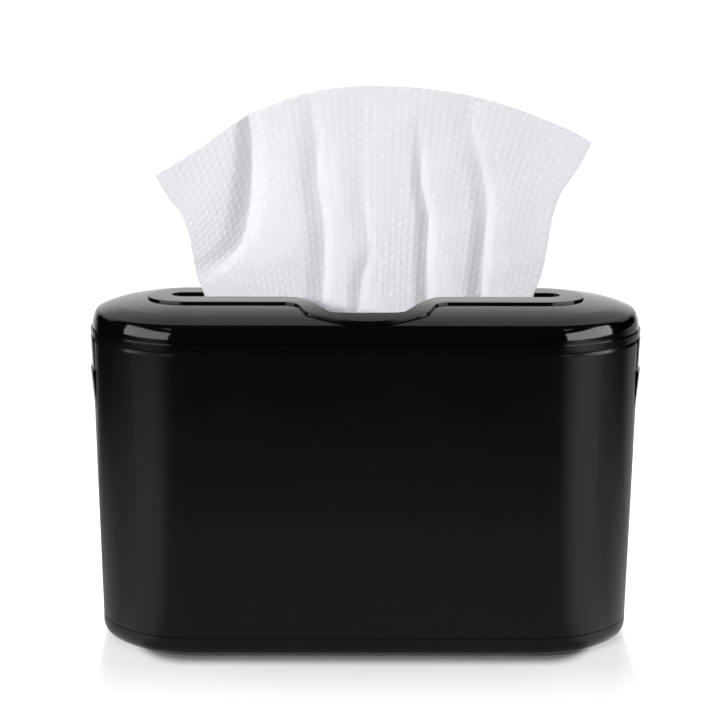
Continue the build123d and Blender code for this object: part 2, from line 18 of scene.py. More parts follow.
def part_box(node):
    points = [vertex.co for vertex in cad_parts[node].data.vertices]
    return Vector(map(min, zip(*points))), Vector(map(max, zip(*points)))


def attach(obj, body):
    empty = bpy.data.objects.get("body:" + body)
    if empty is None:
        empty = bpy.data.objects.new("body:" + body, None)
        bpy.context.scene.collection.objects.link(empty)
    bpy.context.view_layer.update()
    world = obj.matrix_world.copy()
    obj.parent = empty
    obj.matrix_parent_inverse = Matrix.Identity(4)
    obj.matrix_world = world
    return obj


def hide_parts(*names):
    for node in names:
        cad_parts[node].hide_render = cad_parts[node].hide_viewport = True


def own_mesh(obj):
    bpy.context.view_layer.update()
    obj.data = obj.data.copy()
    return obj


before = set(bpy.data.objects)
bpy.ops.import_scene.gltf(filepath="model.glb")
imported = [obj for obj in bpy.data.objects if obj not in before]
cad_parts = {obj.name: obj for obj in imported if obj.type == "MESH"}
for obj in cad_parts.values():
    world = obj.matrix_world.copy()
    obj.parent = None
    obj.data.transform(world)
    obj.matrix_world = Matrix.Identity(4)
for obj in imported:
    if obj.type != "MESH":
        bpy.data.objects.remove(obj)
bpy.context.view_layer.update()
LOG = logging.getLogger("dispenser")

Colour = tuple[float, float, float]
Point = tuple[float, float, float]
# The places and values that a smooth curve goes through
Knots = tuple[tuple[float, float], ...]
# A value's low and high, and what it becomes at each
Ramp = tuple[float, float, float, float]

WHITE: Colour = (1.0, 1.0, 1.0)
# The embossing's lattice, in pitches: how wide a cell is, and where a dot's slope starts and ends
CELL_WIDTH = math.sqrt(3.0)
DOT_TOP = 0.12
DOT_FOOT = 0.4


# ---- Node trees


class Effect(Enum):
    """Node groups that several finishes share, by the name each has in the file."""

    MOULDED = "moulded_surface"
    DRAWN = "drawn_metal"
    EMBOSSED = "embossed_dots"


class Graph:
    """Adds nodes to one tree and links them."""

    # From one node to the next on the editor's sheet
    COLUMN_WIDTH = 190

    def __init__(self, tree: bpy.types.NodeTree) -> None:
        """Starts an empty graph.

        Args:
            tree: The node tree to fill. Its present nodes are removed.
        """
        self.tree = tree
        self.column = 0
        tree.nodes.clear()

    def add(self, kind: str, settings: dict[str, Any] | None = None, **inputs: Any) -> bpy.types.Node:
        """Adds a node.

        Args:
            kind: The node's type, such as "ShaderNodeMath".
            settings: Values for the node's own properties.
            **inputs: A socket or constant for each input, with spaces in its name written as underscores.

        Returns:
            The new node.
        """
        node = self.tree.nodes.new(kind)
        node.location = (self.column * self.COLUMN_WIDTH, 0)
        self.column += 1
        for name, value in (settings or {}).items():
            setattr(node, name, value)
        for name, value in inputs.items():
            self.feed(node.inputs[name.replace("_", " ")], value)
        return node

    def feed(self, socket: bpy.types.NodeSocket, value: Any) -> None:
        """Links a socket to another, or gives it a constant.

        Args:
            socket: The input to set.
            value: An output socket, or a constant of the input's own kind.
        """
        if isinstance(value, bpy.types.NodeSocket):
            self.tree.links.new(value, socket)
        else:
            socket.default_value = value

    def math(self, operation: str, *values: Any, clamp: bool = False) -> bpy.types.NodeSocket:
        """Adds a math node.

        Args:
            operation: The node's operation, such as "MULTIPLY".
            *values: Its inputs, sockets or numbers.
            clamp: Whether the result is held between 0 and 1.

        Returns:
            The result.
        """
        node = self.add("ShaderNodeMath", {"operation": operation, "use_clamp": clamp})
        for socket, value in zip(node.inputs, values):
            self.feed(socket, value)
        return node.outputs[0]

    def vector(self, operation: str, *values: Any) -> bpy.types.Node:
        """Adds a vector math node.

        Args:
            operation: The node's operation, such as "FRACTION".
            *values: Its inputs, sockets or triples.

        Returns:
            The node, because some operations give a value and some a vector.
        """
        node = self.add("ShaderNodeVectorMath", {"operation": operation})
        for socket, value in zip(node.inputs, values):
            self.feed(socket, value)
        return node

    def span(self, value: Any, low: float, high: float, to_low: float = 0.0, to_high: float = 1.0) -> Any:
        """Maps a value smoothly from one range to another.

        Args:
            value: The socket to map.
            low: Where the first range starts.
            high: Where it ends.
            to_low: The result at low and below.
            to_high: The result at high and above.

        Returns:
            The mapped value's socket.
        """
        node = self.add("ShaderNodeMapRange", {"interpolation_type": "SMOOTHSTEP"}, Value=value)
        for name, number in (("From Min", low), ("From Max", high), ("To Min", to_low), ("To Max", to_high)):
            node.inputs[name].default_value = number
        return node.outputs["Result"]

    def noise(self, vector: Any, scale: Any, detail: float = 2.0) -> bpy.types.NodeSocket:
        """Adds a noise texture.

        Args:
            vector: Where it is read.
            scale: Its waves for each metre.
            detail: How many finer layers it has.

        Returns:
            Its value, about 0.5 on average.
        """
        node = self.add("ShaderNodeTexNoise", Vector=vector, Scale=scale, Detail=detail)
        return node.outputs[0]

    def tint(self, mask: Any, first: Any, second: Any) -> bpy.types.NodeSocket:
        """Mixes two colours.

        Args:
            mask: 0 for the first, 1 for the second.
            first: A colour or a socket.
            second: A colour or a socket.

        Returns:
            The mixed colour.
        """
        node = self.add("ShaderNodeMix", {"data_type": "RGBA"})
        self.feed(node.inputs[0], mask)
        self.feed(node.inputs[6], rgba(first))
        self.feed(node.inputs[7], rgba(second))
        return node.outputs[2]


def rgba(colour: Any) -> Any:
    """Gives a colour its alpha.

    Args:
        colour: Three numbers, or a socket, which is given back as it is.

    Returns:
        Four numbers, or the socket.
    """
    return colour if isinstance(colour, bpy.types.NodeSocket) else (*colour, 1.0)


def scaled(colour: Colour, factor: float) -> Colour:
    """Makes a colour lighter or darker.

    Args:
        colour: The colour.
        factor: What each of its channels is multiplied by.

    Returns:
        The new colour.
    """
    red, green, blue = colour
    return red * factor, green * factor, blue * factor


def effect_group(effect: Effect, inputs: dict[str, str], outputs: Sequence[str]) -> tuple[Graph, Any, Any]:
    """Starts a node group with its sockets.

    Args:
        effect: Which shared effect it is.
        inputs: Each input's name and socket type.
        outputs: The names of its value outputs.

    Returns:
        The graph to fill, its input node and its output node.
    """
    tree = bpy.data.node_groups.new(effect.value, "ShaderNodeTree")
    for name, kind in inputs.items():
        tree.interface.new_socket(name, in_out="INPUT", socket_type=kind)
    for name in outputs:
        tree.interface.new_socket(name, in_out="OUTPUT", socket_type="NodeSocketFloat")
    graph = Graph(tree)
    return graph, graph.add("NodeGroupInput"), graph.add("NodeGroupOutput")


def moulded_surface() -> None:
    """Makes the moulded plastic group: fine grain, slow changes of gloss, and dust on what faces up."""
    sockets = {"Vector": "NodeSocketVector", "Grain Scale": "NodeSocketFloat"}
    graph, given, out = effect_group(Effect.MOULDED, sockets, ("Grain", "Smudge", "Dust"))
    place = given.outputs["Vector"]
    graph.feed(out.inputs["Grain"], graph.noise(place, given.outputs["Grain Scale"], detail=3.0))
    # Handling leaves patches a few centimetres across, broken up by finer streaks
    patches = graph.noise(place, scale=22.0, detail=3.0)
    streaks = graph.noise(place, scale=160.0, detail=2.0)
    streak_share = 0.3
    patch_part = graph.math("MULTIPLY", patches, 1.0 - streak_share)
    mixed = graph.math("MULTIPLY_ADD", streaks, streak_share, patch_part)
    graph.feed(out.inputs["Smudge"], graph.span(mixed, low=0.38, high=0.66))
    specks = graph.span(graph.noise(place, scale=900.0, detail=1.0), low=0.69, high=0.76)
    geometry = graph.add("ShaderNodeNewGeometry")
    facing = graph.add("ShaderNodeSeparateXYZ", Vector=geometry.outputs["Normal"])
    upward = graph.span(facing.outputs["Z"], low=0.4, high=0.9)
    graph.feed(out.inputs["Dust"], graph.math("MULTIPLY", specks, upward))


def drawn_metal() -> None:
    """Makes the drawn or ground metal group: fine lines along one direction and slow changes of gloss."""
    graph, given, out = effect_group(Effect.DRAWN, {"Vector": "NodeSocketVector"}, ("Lines", "Tarnish"))
    place = given.outputs["Vector"]
    # Squeezing the places along Z draws each speck of the noise out into a line
    squeeze = 0.04
    squeezed = graph.vector("MULTIPLY", place, (1.0, 1.0, squeeze)).outputs[0]
    graph.feed(out.inputs["Lines"], graph.noise(squeezed, scale=4200.0, detail=2.0))
    clouds = graph.noise(place, scale=130.0, detail=3.0)
    graph.feed(out.inputs["Tarnish"], graph.span(clouds, low=0.4, high=0.65))


def embossed_dots() -> None:
    """Makes the embossing group: round dots in rows, every second row half a pitch along.

    The rows are two rectangular lattices, one half a cell from the other. A cell is one pitch long and the
    square root of three pitches wide, and the nearer lattice point gives the dot.
    """
    sockets = {"Vector": "NodeSocketVector", "Pitch": "NodeSocketFloat"}
    graph, given, out = effect_group(Effect.EMBOSSED, sockets, ("Dot", "Fibre"))
    cells = graph.add("ShaderNodeCombineXYZ", X=CELL_WIDTH, Y=1.0, Z=1.0).outputs[0]
    pitches = graph.vector("SCALE", given.outputs["Vector"])
    graph.feed(pitches.inputs["Scale"], graph.math("DIVIDE", 1.0, given.outputs["Pitch"]))
    placed = graph.vector("DIVIDE", pitches.outputs[0], cells).outputs[0]
    reaches = []
    for shift in ((0.0, 0.0, 0.0), (0.5, 0.5, 0.0)):
        share = graph.vector("FRACTION", graph.vector("ADD", placed, shift).outputs[0]).outputs[0]
        centred = graph.vector("MULTIPLY", graph.vector("SUBTRACT", share, (0.5, 0.5, 0.5)).outputs[0], cells)
        flat = graph.vector("MULTIPLY", centred.outputs[0], (1.0, 1.0, 0.0))
        reaches.append(graph.vector("LENGTH", flat.outputs[0]).outputs["Value"])
    nearest = graph.math("MINIMUM", *reaches)
    graph.feed(out.inputs["Dot"], graph.span(nearest, DOT_TOP, DOT_FOOT, to_low=1.0, to_high=0.0))
    graph.feed(out.inputs["Fibre"], graph.noise(given.outputs["Vector"], scale=1500.0, detail=4.0))


# ---- Finishes


class Finish(Protocol):
    """What every finish has."""

    @property
    def name(self) -> str:
        """The name that its material takes."""

    def build(self) -> bpy.types.Material:
        """Makes the finish's material."""


def start_material(name: str) -> tuple[bpy.types.Material, Graph]:
    """Starts a material with an empty node tree.

    Args:
        name: The material's name.

    Returns:
        The material and its graph.
    """
    material = bpy.data.materials.new(name)
    material.use_nodes = True
    return material, Graph(material.node_tree)


def start_finish(name: str, effect: Effect, source: str, **inputs: Any) -> tuple[Any, Graph, Any]:
    """Starts a material that reads a shared group.

    Args:
        name: The material's name.
        effect: Which group.
        source: Which coordinates it reads.
        **inputs: The group's other inputs, as in Graph.add.

    Returns:
        The material, its graph and the group's outputs.
    """
    material, graph = start_material(name)
    place = graph.add("ShaderNodeTexCoord").outputs[source]
    tree = bpy.data.node_groups[effect.value]
    group = graph.add("ShaderNodeGroup", {"node_tree": tree}, Vector=place, **inputs)
    return material, graph, group.outputs


def finish_material(graph: Graph, shader: bpy.types.Node, height: Any, depth: float) -> None:
    """Adds the bump and the output of a material.

    Args:
        graph: The material's graph.
        shader: Its Principled BSDF.
        height: The bump's height, from 0 to 1.
        depth: How deep that is.
    """
    bump = graph.add("ShaderNodeBump", Height=height, Distance=depth, Strength=1.0)
    graph.feed(shader.inputs["Normal"], bump.outputs["Normal"])
    graph.add("ShaderNodeOutputMaterial", Surface=shader.outputs[0])


@dataclass(frozen=True)
class Moulded:
    """Moulded plastic or rubber."""

    name: str
    colour: Colour
    roughness: float
    specular: float = 0.5
    grain_scale: float = 2500.0
    grain_depth: float = 0.00002
    smudge: float = 0.04
    dust: float = 0.1
    smudged_gain: float = 1.15
    dust_colour: Colour = (0.35, 0.34, 0.33)

    def build(self) -> bpy.types.Material:
        """Makes the material.

        Returns:
            The new material.
        """
        scale = self.grain_scale
        material, graph, read = start_finish(self.name, Effect.MOULDED, "Object", Grain_Scale=scale)
        smudge, dust = read["Smudge"], read["Dust"]
        clean = graph.tint(smudge, self.colour, scaled(self.colour, self.smudged_gain))
        dusty = graph.tint(graph.math("MULTIPLY", dust, self.dust), clean, self.dust_colour)
        rough = graph.math("MULTIPLY_ADD", smudge, self.smudge, self.roughness)
        rough = graph.math("MULTIPLY_ADD", dust, self.dust, rough, clamp=True)
        shader = graph.add("ShaderNodeBsdfPrincipled", Base_Color=dusty, Roughness=rough)
        shader.inputs["Specular IOR Level"].default_value = self.specular
        finish_material(graph, shader, read["Grain"], self.grain_depth)
        return material


@dataclass(frozen=True)
class Metal:
    """Drawn, ground or plated steel."""

    name: str
    colour: Colour
    roughness: float
    tarnish: float = 0.12
    tarnished_gain: float = 0.72
    line_depth: float = 0.000006

    def build(self) -> bpy.types.Material:
        """Makes the material.

        Returns:
            The new material.
        """
        material, graph, read = start_finish(self.name, Effect.DRAWN, "Object")
        colour = graph.tint(read["Tarnish"], self.colour, scaled(self.colour, self.tarnished_gain))
        rough = graph.math("MULTIPLY_ADD", read["Tarnish"], self.tarnish, self.roughness)
        shader = graph.add("ShaderNodeBsdfPrincipled", Base_Color=colour, Roughness=rough, Metallic=1.0)
        finish_material(graph, shader, read["Lines"], self.line_depth)
        return material


@dataclass(frozen=True)
class Paper:
    """White paper towelling, embossed with rows of dots. Its UV map is in metres."""

    name: str
    colour: Colour = (0.815, 0.815, 0.85)
    pitch: float = 0.0048
    dot_depth: float = 0.00014
    fibre_depth: float = 0.00005
    # How dark the ground between the dots is painted, as shade in its hollows
    ground_shade_gain: float = 0.975
    fibre_colour: Colour = (0.62, 0.62, 0.66)
    fibre_share: float = 0.12
    smoothest: float = 0.82
    roughest: float = 0.95
    specular: float = 0.2

    def build(self) -> bpy.types.Material:
        """Makes the material.

        Returns:
            The new material.
        """
        material, graph, read = start_finish(self.name, Effect.EMBOSSED, "UV", Pitch=self.pitch)
        dot, fibre = read["Dot"], read["Fibre"]
        # The pressed ground between the dots is painted a touch darker, as shade in the hollows between them,
        # and fibres mottle both
        colour = graph.tint(dot, scaled(self.colour, self.ground_shade_gain), self.colour)
        mottle = graph.span(fibre, low=0.35, high=0.7, to_high=self.fibre_share)
        mottled = graph.tint(mottle, colour, self.fibre_colour)
        rough = graph.span(fibre, low=0.3, high=0.7, to_low=self.smoothest, to_high=self.roughest)
        shader = graph.add("ShaderNodeBsdfPrincipled", Base_Color=mottled, Roughness=rough)
        shader.inputs["Specular IOR Level"].default_value = self.specular
        height = graph.math("MULTIPLY_ADD", fibre, self.fibre_depth / self.dot_depth, dot)
        finish_material(graph, shader, height, self.dot_depth)
        return material


# ---- Mesh helpers


def new_piece(name: str, points: np.ndarray, faces: list[list[int]], uv: np.ndarray | None = None) -> Any:
    """Makes an object from points and faces.

    Args:
        name: The piece's name.
        points: One row for each point.
        faces: The points of each face, outward by the right-hand rule.
        uv: One row for each point, in metres, or nothing.

    Returns:
        The new object, at the origin.
    """
    mesh = bpy.data.meshes.new(name)
    mesh.from_pydata(points, [], faces)
    if uv is not None:
        corners = np.empty(len(mesh.loops), dtype=np.int32)
        mesh.loops.foreach_get("vertex_index", corners)
        mesh.uv_layers.new(name="cut").data.foreach_set("uv", uv[corners].ravel().astype(np.float32))
    mesh.shade_smooth()
    mesh.validate()
    piece = bpy.data.objects.new(name, mesh)
    bpy.context.scene.collection.objects.link(piece)
    return piece


def grid_faces(rows: int, columns: int, wrap: bool = False) -> np.ndarray:
    """Lists the four-cornered faces of a grid of points stored row by row.

    Args:
        rows: How many rows of points.
        columns: How many points in each.
        wrap: Whether each row closes on itself.

    Returns:
        One row of four point numbers for each face.
    """
    numbers = np.arange(rows * columns).reshape(rows, columns)
    if wrap:
        numbers = np.concatenate([numbers, numbers[:, :1]], axis=1)
    near, far = numbers[:-1], numbers[1:]
    corners = (near[:, :-1], near[:, 1:], far[:, 1:], far[:, :-1])
    return np.stack(corners, axis=-1).reshape(-1, 4)


def ease(value: np.ndarray, low: float, high: float) -> np.ndarray:
    """Rises smoothly from 0 at low to 1 at high.

    Args:
        value: Where it is read.
        low: Where it leaves 0.
        high: Where it reaches 1.

    Returns:
        The share at each place, three times its square less twice its cube.
    """
    share = np.clip((value - low) / (high - low), 0.0, 1.0)
    return share * share * (3.0 - 2.0 * share)


def smooth_curve(knots: Sequence[tuple[float, float]], at: np.ndarray) -> np.ndarray:
    """Reads a smooth curve through given points.

    Each stretch is a cubic whose slope at a knot is the mean slope of the two stretches that meet there.

    Args:
        knots: Each knot's place and value, in rising order of place.
        at: Where the curve is read.

    Returns:
        Its value at each place.
    """
    place, value = np.array(knots, dtype=float).T
    slope = np.gradient(value, place)
    index = np.clip(np.searchsorted(place, at, side="right") - 1, 0, len(place) - 2)
    width = place[index + 1] - place[index]
    share = np.clip((at - place[index]) / width, 0.0, 1.0)
    rise = share * share * (3.0 - 2.0 * share)
    leaving = share * (1.0 - share) ** 2 * width * slope[index]
    arriving = share * share * (share - 1.0) * width * slope[index + 1]
    return value[index] * (1.0 - rise) + value[index + 1] * rise + leaving + arriving


# ---- Sub-assemblies


@dataclass
class SubAssembly:
    """CAD nodes that keep their shape and get a finish each."""

    name: str
    finishes: dict[str, Finish] = field(default_factory=dict)

    def dress(self, made: dict[str, bpy.types.Material]) -> None:
        """Gives each CAD node its material.

        Args:
            made: The materials made so far, by finish name. New ones are added.
        """
        for node, finish in self.finishes.items():
            paint(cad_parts[node], finish, made)
            LOG.info("%s: %s is %s", self.name, node, finish.name)

    def build(self, made: dict[str, bpy.types.Material]) -> None:
        """Makes the pieces that the CAD model doesn't hold. A plain sub-assembly has none.

        Args:
            made: The materials made so far.
        """


def paint(piece: Any, finish: Finish, made: dict[str, bpy.types.Material]) -> None:
    """Gives a piece one material all over.

    Args:
        piece: The object.
        finish: What it is made of.
        made: The materials made so far, by finish name. A new one is added.
    """
    if finish.name not in made:
        made[finish.name] = finish.build()
    if not piece.material_slots:
        piece.data.materials.append(None)
    for slot in piece.material_slots:
        slot.material = made[finish.name]


@dataclass(frozen=True)
class Crease:
    """A valley that runs up the towel: the fold on its left drops into it, the one on its right starts in it.

    The three curves are read against height. The path is the valley's place along the length, the depth is
    how far back it goes, and the drop is the width of its left flank.
    """

    # How far the left flank's whole rise would run, in widths of it, and how much of it is done at its foot
    FLANK_RUN = 1.25
    FLANK_HEIGHT = 0.896

    path: Knots
    depth: Knots
    drop: Knots
    climb: float
    crisp: float
    turn: float = 0.0045
    settle: float = 1.5

    def dip(self, x: np.ndarray, z: np.ndarray) -> np.ndarray:
        """Finds how far back the valley takes the towel.

        The left flank falls along the first part of a smooth rise. The right flank regains a crisp share of
        the depth over the turn, and the rest over the climb, as what is left of it to the power of settle.

        Args:
            x: Each point's place along the length.
            z: Its height.

        Returns:
            The way back at each point.
        """
        off = x - smooth_curve(self.path, z)
        left = ease(1.0 + off / smooth_curve(self.drop, z), 0.0, self.FLANK_RUN) / self.FLANK_HEIGHT
        gentle = np.clip(1.0 - off / self.climb, 0.0, 1.0) ** self.settle
        right = self.crisp * (1.0 - ease(off, 0.0, self.turn)) + (1.0 - self.crisp) * gentle
        return smooth_curve(self.depth, z) * np.where(off < 0.0, left, right)


@dataclass
class PulledTowel(SubAssembly):
    """The towel that stands out of the slot, drawn together below and spread above."""

    finish: Paper = Paper("towel_paper")
    flat_width: float = 0.240
    flat_length: float = 0.131
    bottom: float = 0.1589
    slot_level: float = 0.180
    slot_left: float = -0.0835
    slot_right: float = 0.0866
    thickness: float = 0.0003
    across: int = 320
    up: int = 150
    lean: float = 0.006
    foremost: float = -0.0035
    # How much of the dots' depth the mesh takes, the finish adding its own
    dots_in_mesh: float = 0.6
    # The top edge, as seen from the front: x and z
    top_edge: Knots = (
        (-0.1084, 0.2430), (-0.0965, 0.2500), (-0.0840, 0.2580), (-0.0716, 0.2672), (-0.0590, 0.2748),
        (-0.0467, 0.2800), (-0.0342, 0.2845), (-0.0210, 0.2877), (0.0000, 0.2893), (0.0300, 0.2880),
        (0.0600, 0.2826), (0.0918, 0.2717), (0.1070, 0.2650), (0.1150, 0.2603),
    )
    # How far each side edge has gone outward, against its share of the way up from the slot, and the power
    # of that share by which the middle goes
    side_spread: Knots = (
        (0.0, 0.0), (0.15, 0.15), (0.35, 0.25), (0.52, 0.33), (0.66, 0.46), (0.83, 0.76), (1.0, 1.0),
    )
    middle_power: float = 1.3
    creases: tuple[Crease, ...] = (
        # The long valley beside the left flap, which curves out to the flap's edge above the slot
        Crease(
            path=((0.176, -0.096), (0.188, -0.085), (0.196, -0.0746), (0.204, -0.0664), (0.220, -0.0612),
                  (0.240, -0.0590), (0.262, -0.0593), (0.280, -0.0615)),
            depth=((0.18, 0.0), (0.192, 0.0012), (0.204, 0.0042), (0.220, 0.0062), (0.245, 0.0060),
                   (0.268, 0.0045), (0.285, 0.0037)),
            drop=((0.190, 0.020), (0.204, 0.015), (0.236, 0.012), (0.270, 0.009)),
            climb=0.028, crisp=0.36, turn=0.009,
        ),
        # The four shorter ones from there to the right
        Crease(
            path=((0.176, -0.0220), (0.188, -0.0218), (0.220, -0.0218), (0.236, -0.0249), (0.262, -0.0256),
                  (0.283, -0.0290)),
            depth=((0.17, 0.0032), (0.204, 0.0038), (0.236, 0.0036), (0.262, 0.0024), (0.285, 0.0008)),
            drop=((0.17, 0.011), (0.28, 0.012)),
            climb=0.012, crisp=0.45,
        ),
        Crease(
            path=((0.17, -0.0040), (0.188, -0.0020), (0.204, 0.0020), (0.220, -0.0010), (0.260, -0.0030)),
            depth=((0.17, 0.0026), (0.190, 0.0023), (0.204, 0.0015), (0.236, 0.0009), (0.262, 0.0004),
                   (0.280, 0.0002)),
            drop=((0.17, 0.007), (0.28, 0.012)),
            climb=0.010, crisp=0.35,
        ),
        Crease(
            path=((0.17, 0.0320), (0.204, 0.0316), (0.220, 0.0321), (0.236, 0.0285), (0.262, 0.0272),
                  (0.28, 0.0260)),
            depth=((0.17, 0.0042), (0.204, 0.0045), (0.236, 0.0036), (0.252, 0.0020), (0.265, 0.0006),
                   (0.28, 0.0001)),
            drop=((0.17, 0.0085), (0.220, 0.0080), (0.25, 0.0060)),
            climb=0.014, crisp=0.50,
        ),
        Crease(
            path=((0.17, 0.0600), (0.188, 0.0601), (0.204, 0.0612), (0.236, 0.0612), (0.252, 0.0575),
                  (0.268, 0.0529)),
            depth=((0.17, 0.0046), (0.204, 0.0046), (0.236, 0.0036), (0.252, 0.0024), (0.268, 0.0011),
                   (0.29, 0.0002)),
            drop=((0.17, 0.0105), (0.236, 0.0100), (0.27, 0.0130)),
            climb=0.014, crisp=0.60,
        ),
    )
    # Slow waves between the folds: a height, the radians of two sines across the towel and up it, the second's
    # start, and between what shares of the way up the wave grows
    waves: tuple[tuple[float, ...], ...] = (
        (0.0009, 9.0, 3.0, 0.0, 4.0, 1.0, 0.05, 0.5),
        (0.0003, 31.0, -5.0, 2.0, 11.0, 0.0, 0.0, 0.4),
    )

    def surface(self) -> tuple[np.ndarray, np.ndarray]:
        """Works out the towel's middle surface.

        Each point starts on the slot and goes outward, toward its place on the top edge, by the spread at its
        height. Its way back is the lean, times the square of its share of the way up, and all dips and waves.

        Returns:
            A grid of points, and the place of each on the flat towel.
        """
        share, rise = np.meshgrid(np.linspace(0, 1, self.across), np.linspace(0, 1, self.up))
        edge_x, edge_z = np.array(self.top_edge).T
        run = np.concatenate([[0.0], np.cumsum(np.hypot(np.diff(edge_x), np.diff(edge_z)))])
        top_x = smooth_curve(list(zip(run / run[-1], edge_x)), share)
        top_z = smooth_curve(list(zip(run / run[-1], edge_z)), share)
        z = self.bottom + (top_z - self.bottom) * rise
        above = np.clip((z - self.slot_level) / (top_z - self.slot_level), 0.0, 1.0)
        slot_x = self.slot_left + (self.slot_right - self.slot_left) * share
        side = np.abs(2.0 * share - 1.0) ** 2
        spread = smooth_curve(self.side_spread, above) * side + above**self.middle_power * (1.0 - side)
        x = slot_x + (top_x - slot_x) * spread
        y = self.foremost - self.lean * above**2 + sum(crease.dip(x, z) for crease in self.creases)
        for height, across, up, also_across, also_up, start, low, high in self.waves:
            crossed = np.sin(across * share + up * rise) * np.sin(also_across * share + also_up * rise + start)
            y += height * crossed * ease(above, low, high)
        flat = np.stack([share * self.flat_width, rise * self.flat_length], axis=-1)
        return np.stack([x, y, z], axis=-1), flat

    def dots(self, flat: np.ndarray) -> np.ndarray:
        """Reads the embossing's height from the flat towel, on the same lattice as the finish.

        Args:
            flat: Places on the flat towel, in metres.

        Returns:
            The height at each, from 0 to 1.
        """
        cell = np.array([CELL_WIDTH, 1.0])
        placed = flat / self.finish.pitch / cell
        reach = np.full(flat.shape[:-1], np.inf)
        for shift in (0.0, 0.5):
            off = (np.mod(placed + shift, 1.0) - 0.5) * cell
            reach = np.minimum(reach, np.hypot(off[..., 0], off[..., 1]))
        return 1.0 - ease(reach, DOT_TOP, DOT_FOOT)

    def build(self, made: dict[str, bpy.types.Material]) -> None:
        """Makes the towel as a thin closed sheet.

        Args:
            made: The materials made so far.
        """
        points, flat = self.surface()
        across = np.gradient(points, axis=1)
        along = np.gradient(points, axis=0)
        normal = np.cross(across, along)
        normal /= np.linalg.norm(normal, axis=-1, keepdims=True)
        raised = self.dots(flat) * self.finish.dot_depth * self.dots_in_mesh
        points = points + normal * raised[..., None]
        front = points + normal * self.thickness / 2
        back = points - normal * self.thickness / 2
        count = self.across * self.up
        sides = grid_faces(self.up, self.across)
        numbers = np.arange(count).reshape(self.up, self.across)
        rim = np.concatenate([numbers[0], numbers[1:, -1], numbers[-1, -2::-1], numbers[-2:0:-1, 0]])
        after = np.roll(rim, -1)
        edge = np.stack([after, rim, rim + count, after + count], axis=-1)
        faces = np.concatenate([sides, sides[:, ::-1] + count, edge])
        stacked = np.concatenate([front.reshape(-1, 3), back.reshape(-1, 3)])
        cut = np.concatenate([flat.reshape(-1, 2)] * 2)
        piece = new_piece("pulled_towel", stacked, faces.tolist(), cut)
        # A matt sheet this near would show in the polished lid as a pale patch, which a true one doesn't
        piece.visible_glossy = False
        paint(piece, self.finish, made)
        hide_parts("paper_towel")
        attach(piece, "towel")
        LOG.info("%s: pulled_towel has %d faces", self.name, len(faces))


@dataclass
class TowelStack(SubAssembly):
    """The folded towels on the platen, each a soft slab with round folds at front and back."""

    finish: Paper = Paper("stack_paper")
    towels: int = 26
    steps: int = 48
    arc: int = 9
    seed: int = 7
    # How far short a towel may stop at each side, and the gap over and under it
    slack: float = 0.0007
    gap: float = 0.00003
    # How far its edges wander, over how many radians and from what start, if its front is short by enough
    sway: float = 0.00035
    ripples: tuple[float, float] = (5.0, 11.0)
    latest_start: float = 6.0
    enough: float = 0.0002

    def slab(self, low: np.ndarray, high: np.ndarray, sway: np.ndarray) -> tuple[np.ndarray, np.ndarray]:
        """Works out one folded towel.

        Args:
            low: The lowest corner of its space.
            high: The highest corner.
            sway: How its front and back edges wander along the length.

        Returns:
            A grid of points, one row for each step along the length, and their places on the flat towel.
        """
        radius = (high[2] - low[2]) / 2
        turn = np.linspace(-math.pi / 2, math.pi / 2, self.arc)
        front = -np.cos(turn) * radius + low[1] + radius
        back = np.cos(turn) * radius + high[1] - radius
        fill = np.linspace(0.0, 1.0, self.arc)[1:-1]
        middle = low[1] + radius + (high[1] - low[1] - 2 * radius) * fill
        rise = np.sin(turn) * radius + (low[2] + high[2]) / 2
        level = np.full_like(fill, high[2])
        y = np.concatenate([back, middle[::-1], front[::-1], middle])
        z = np.concatenate([rise, level, rise[::-1], np.full_like(fill, low[2])])
        x = np.linspace(low[0], high[0], self.steps)
        points = np.empty((self.steps, len(y), 3))
        points[..., 0] = x[:, None]
        points[..., 1] = y[None, :] + sway[:, None]
        points[..., 2] = z[None, :]
        run = np.concatenate([[0.0], np.cumsum(np.hypot(np.diff(y), np.diff(z)))])
        flat = np.stack(np.broadcast_arrays(x[:, None], run[None, :]), axis=-1)
        return points, flat

    def build(self, made: dict[str, bpy.types.Material]) -> None:
        """Makes the stack as one piece of many closed slabs.

        Args:
            made: The materials made so far.
        """
        low, high = (np.array(corner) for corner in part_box("towel_stack"))
        chance = np.random.default_rng(self.seed)
        height = (high[2] - low[2]) / self.towels
        points, faces, cuts, used = [], [], [], 0
        along = np.linspace(0.0, 1.0, self.steps)
        for number in range(self.towels):
            slack = chance.uniform(0.0, self.slack, 4)
            first = low + np.array([slack[0], slack[1], number * height + self.gap])
            top = low[2] + (number + 1) * height - self.gap
            last = np.array([high[0] - slack[2], high[1] - slack[3], top])
            ripple = np.sin(along * chance.uniform(*self.ripples) + chance.uniform(0.0, self.latest_start))
            grid, flat = self.slab(first, last, self.sway * ripple * (slack[1] > self.enough))
            ring = grid.shape[1]
            walls = grid_faces(self.steps, ring, wrap=True) + used
            start = np.arange(ring) + used
            faces += walls.tolist() + [start[::-1].tolist(), (start + (self.steps - 1) * ring).tolist()]
            points.append(grid.reshape(-1, 3))
            cuts.append(flat.reshape(-1, 2))
            used += self.steps * ring
        piece = new_piece("folded_towels", np.concatenate(points), faces, np.concatenate(cuts))
        paint(piece, self.finish, made)
        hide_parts("towel_stack")
        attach(piece, "lift")
        LOG.info("%s: folded_towels has %d towels", self.name, self.towels)


